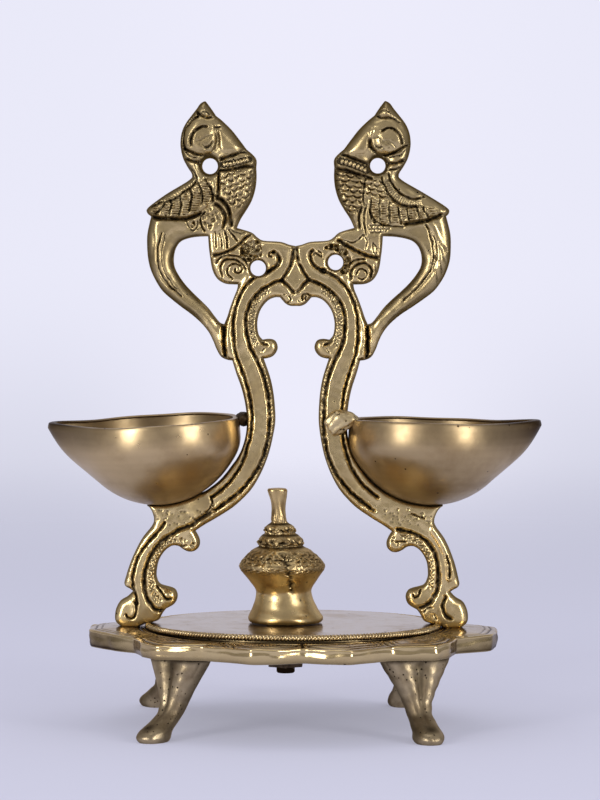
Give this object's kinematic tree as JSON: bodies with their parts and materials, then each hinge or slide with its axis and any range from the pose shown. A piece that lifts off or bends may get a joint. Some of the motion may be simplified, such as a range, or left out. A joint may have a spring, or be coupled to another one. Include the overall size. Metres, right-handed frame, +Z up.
{
  "type": "peacock oil lamp",
  "caption": "Brass oil lamp: twin peacock frame on a petal plate with legs, a pointed oil bowl on each arm and a pot finial between them.",
  "frame": {"origin": "on the floor under the middle of the lamp", "axes": "+X towards the right bowl, +Y towards the rear, +Z up"},
  "size_m": [0.1618, 0.1176, 0.2034],
  "materials": {
    "plate_brass": "cast plate, mirror-turned disc inside a rope ring, pitted petals",
    "leg_brass": "dull cast brass, dark in the grooves, pitted",
    "cast_brass": "chased cast brass, bright on the proud faces and near black in the recesses",
    "bowl_brass": "spun and polished brass with turning lines and small pits",
    "finial_brass": "polished golden waist under a rough cast, beaded top",
    "braze_metal": "lumpy, pale braze metal with small pits",
    "fixing_steel": "dull steel fixings with brown stains"
  },
  "bodies": {
    "root": {"base_plate": "plate_brass", "front_left_leg": "leg_brass", "front_right_leg": "leg_brass", "rear_left_leg": "leg_brass", "rear_right_leg": "leg_brass", "twin_peacock_frame": "cast_brass", "left_bowl": "bowl_brass", "right_bowl": "bowl_brass", "left_bowl_rivet": "cast_brass", "right_bowl_rivet": "cast_brass", "left_rim_braze": "braze_metal", "right_rim_braze": "braze_metal", "kalash_finial": "finial_brass", "finial_washer": "fixing_steel", "finial_nut": "fixing_steel", "left_frame_washer": "fixing_steel", "right_frame_washer": "fixing_steel", "left_frame_screw": "fixing_steel", "right_frame_screw": "fixing_steel"}
  },
  "joints": []
}
